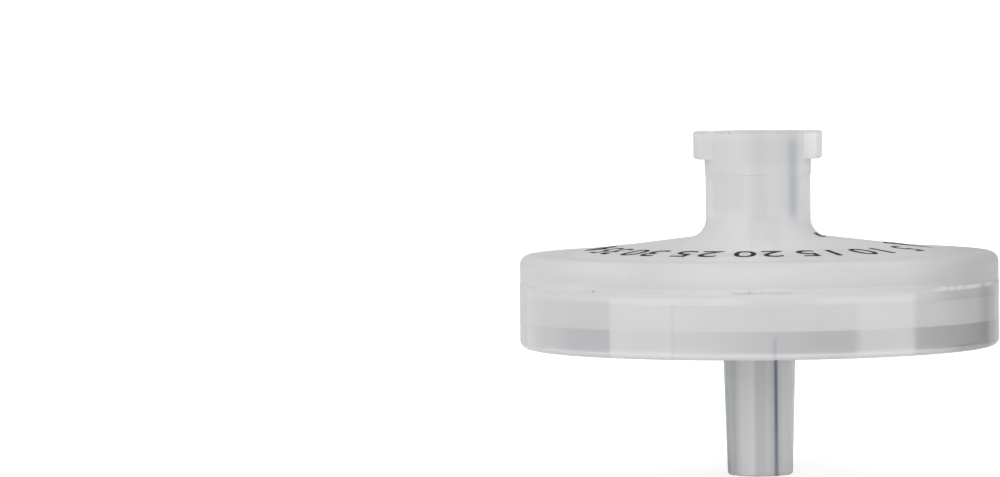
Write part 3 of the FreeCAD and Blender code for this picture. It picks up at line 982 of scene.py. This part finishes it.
def bead_section(rise, drop):
    """The bead's section as radii and levels, smeared over the shells by these shares."""
    lower_wall = RIM_RADIUS + BEAD_SKIN
    upper_wall = RIM_RADIUS - SHELL_INSET + BEAD_SKIN
    root = RIM_RADIUS - BEAD_ROOT
    return (
        (lower_wall, -GROOVE_HALF - SMEAR_DOWN * drop),
        (lower_wall, -GROOVE_HALF),
        (upper_wall, GROOVE_HALF),
        (upper_wall, GROOVE_HALF + SMEAR_UP * rise),
        (root, GROOVE_HALF),
        (root, -GROOVE_HALF),
    )


def make_bead():
    """A flush ring of melt in the groove. Its upper and lower edges wander."""
    rng = random.Random(BEAD_SEED)
    rise = smooth_noise(rng, BEAD_SEGMENTS, WAVES_UP)
    drop = smooth_noise(rng, BEAD_SEGMENTS, WAVES_DOWN)
    vertices, faces = [], []
    for i in range(BEAD_SEGMENTS):
        turn = math.tau * i / BEAD_SEGMENTS
        section = bead_section(rise[i] ** 2, drop[i] ** 2)
        for radius, level in section:
            vertices.append((radius * math.cos(turn), radius * math.sin(turn), WELD_LINE + level))
    sides = len(section)
    for i in range(BEAD_SEGMENTS):
        here = i * sides
        over = (i + 1) % BEAD_SEGMENTS * sides
        for j in range(sides):
            beside = (j + 1) % sides
            faces.append((here + j, over + j, over + beside, here + beside))
    mesh = bpy.data.meshes.new("weld_bead")
    mesh.from_pydata(vertices, [], faces)
    mesh.shade_smooth()
    mesh.set_sharp_from_angle(angle=BEAD_SHARP)
    new_piece("weld_bead", mesh, bead_material())


# ---------------------------------------------------------------- stage


def make_surround():
    """White behind the filter, and a plain soft light that falls off on one side."""
    world = bpy.data.worlds.new("surround")
    world.use_nodes = True
    n = Nodes(world.node_tree)
    direction = n.add("ShaderNodeTexCoord").outputs["Generated"]
    dark_side = Vector(DARK_SIDE).normalized()
    side = n.add("ShaderNodeVectorMath", direction, dark_side, operation="DOT_PRODUCT").outputs["Value"]
    seen = n.step(side, DARK_EDGE, DARK_CORE, SEEN, DARK_SEEN)
    through = n.times(n.light_path("Is Transmission Ray"), 1.0 - MIRRORED)
    seen = n.times(seen, n.math("ADD", through, MIRRORED))
    shown = n.light_path("Is Glossy Ray", "Is Transmission Ray")
    light = n.add("ShaderNodeMix", shown, None, SURROUND, seen).outputs["Result"]
    white = n.times(n.light_path("Is Camera Ray"), BEHIND)
    background = n.tree.nodes["Background"]
    background.inputs["Color"].default_value = (1, 1, 1, 1)
    n.tree.links.new(n.math("MAXIMUM", light, white), background.inputs["Strength"])
    bpy.context.scene.world = world


def make_lamp(name, share, source):
    """A broad far lamp. share is what it adds to a white surface that faces it."""
    light = bpy.data.lights.new(name, "SUN")
    light.energy = share * math.pi
    light.angle = LAMP_SPREAD
    lamp = new_object(name, light)
    lamp.rotation_euler = Vector(source).to_track_quat("Z", "Y").to_euler()


def floor_material():
    s = Surface(
        "floor",
        Base_Color=(FLOOR_GREY, FLOOR_GREY, FLOOR_GREY, 1),
        Roughness=1.0,
        Specular_IOR_Level=0.0,
        Emission_Color=(1, 1, 1, 1),
    )
    glow = s.times(s.light_path("Is Camera Ray"), FLOOR_GLOW)
    s.feed("Emission Strength", s.math("ADD", glow, FLOOR_LIGHT))
    return s.material


def make_floor():
    """A plain pale floor that shows white and keeps the filter's shadow."""
    sides = ((-1, -1), (1, -1), (1, 1), (-1, 1))
    corners = [(x * FLOOR_HALF, y * FLOOR_HALF, -FLOOR_DROP) for x, y in sides]
    mesh = bpy.data.meshes.new("floor")
    mesh.from_pydata(corners, [], [(0, 1, 2, 3)])
    mesh.materials.append(floor_material())
    new_object("floor", mesh)


def make_camera():
    """A little above the mouth, far off with a long lens, turned to the filter's left and tilted down."""
    data = bpy.data.cameras.new("camera")
    data.sensor_width = SENSOR_WIDTH
    data.lens = LENS
    data.clip_start = NEAR_CLIP
    camera = new_object("camera", data)
    camera.location = (0, -EYE_DISTANCE, EYE_HEIGHT)
    pan = Matrix.Rotation(TURN_LEFT, 3, "Z")
    tilt = Matrix.Rotation(math.pi / 2 - LOOK_DOWN, 3, "X")
    roll = Matrix.Rotation(LEAN, 3, "Z")
    camera.rotation_euler = (pan @ tilt @ roll).to_euler()
    bpy.context.scene.camera = camera


make_camera()
make_surround()
make_lamp("key", KEY, KEY_FROM)
make_floor()
finish_cad_nodes()
make_print()
make_bead()

bpy.context.scene.view_settings.view_transform = "Standard"
